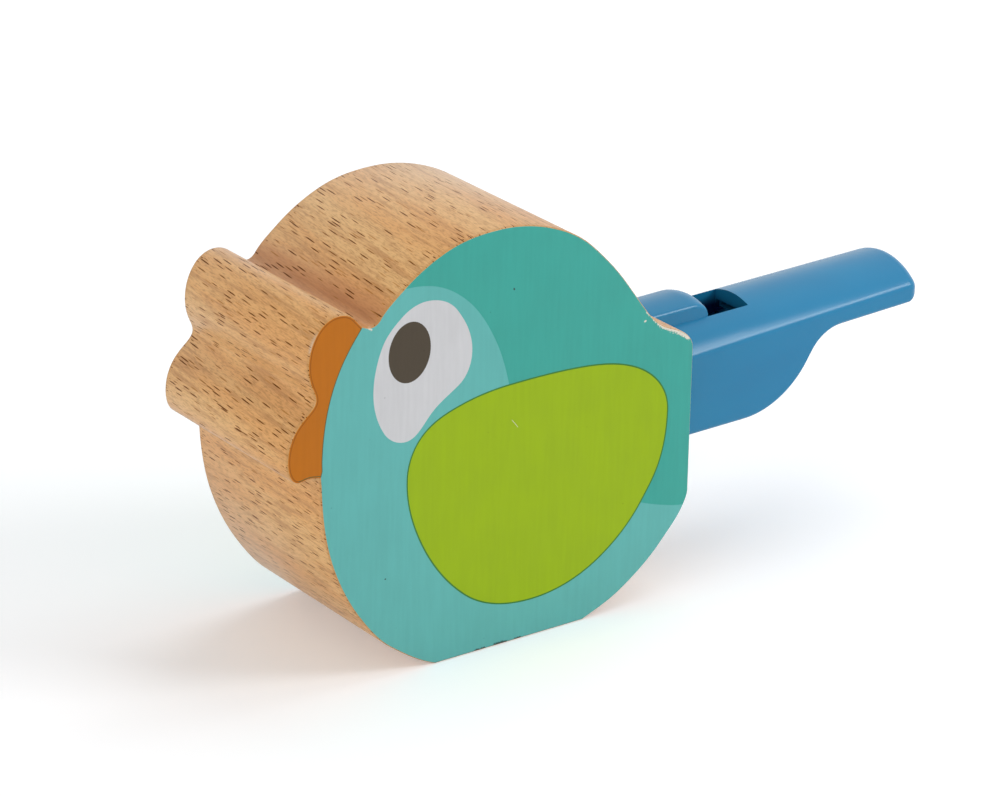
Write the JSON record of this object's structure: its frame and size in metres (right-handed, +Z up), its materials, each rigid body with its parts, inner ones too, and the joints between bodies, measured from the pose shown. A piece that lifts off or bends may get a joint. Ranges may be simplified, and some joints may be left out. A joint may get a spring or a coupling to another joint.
{
  "type": "bird whistle",
  "caption": "Bird-shaped wooden block with a printed eye, wing and beak on its flat faces and a fixed plastic whistle mouthpiece as its tail.",
  "frame": {"origin": "middle of the block's flat base, on the surface it stands on", "axes": "+X runs from the beak to the mouthpiece, +Y is through the block's thickness, +Z is up"},
  "size_m": [0.1148, 0.03, 0.0606],
  "materials": {
    "printed_beech": "sanded beech with a clear matt coat; both flat faces carry satin printed colour fields",
    "blue_plastic": "semi-gloss moulded blue"
  },
  "bodies": {
    "root": {"wooden_body": "printed_beech", "whistle_mouthpiece": "blue_plastic"}
  },
  "joints": []
}
